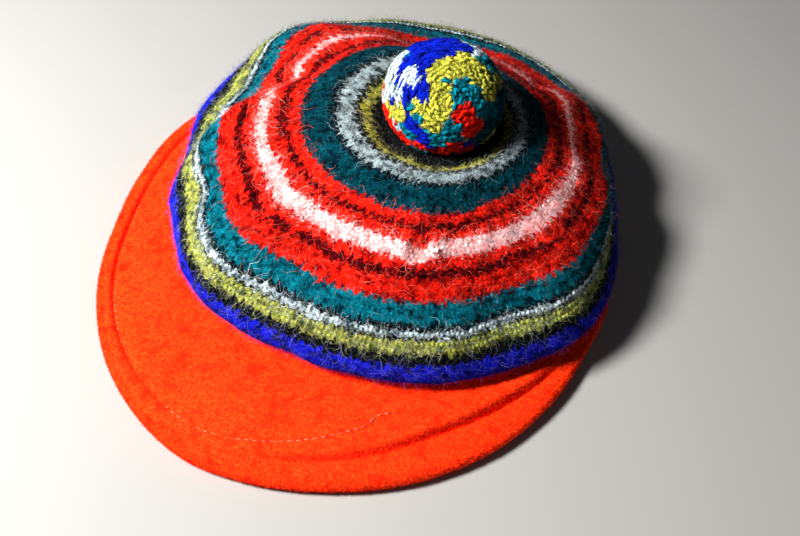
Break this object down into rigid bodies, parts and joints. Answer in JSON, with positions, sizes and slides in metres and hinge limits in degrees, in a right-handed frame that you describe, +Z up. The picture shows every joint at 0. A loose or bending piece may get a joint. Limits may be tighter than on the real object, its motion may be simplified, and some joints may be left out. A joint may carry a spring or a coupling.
{
  "type": "knitted wool tam with a peak and a pompom",
  "caption": "Puffed, felted knit tam with a striped round crown, a wide padded peak, a head band and a yarn pompom set in the crown's dimple; worn, with soft folds.",
  "frame": {"origin": "under the middle of the bounding box, on the surface that the hat rests on", "axes": "+Z up, -Y towards the front of the peak, +X to the wearer's left, which is the viewer's right from the front"},
  "size_m": [0.2572, 0.3184, 0.117],
  "materials": {
    "crown_wool": "felted striped knit, matte and fuzzy",
    "band_wool": "felted knit, matte and fuzzy",
    "peak_wool": "felted fine knit, matte and fuzzy",
    "pompom_yarn": "matte wool yarn"
  },
  "bodies": {
    "root": {"crown": "crown_wool", "head_band": "band_wool", "peak": "peak_wool", "pompom": "pompom_yarn"}
  },
  "joints": []
}
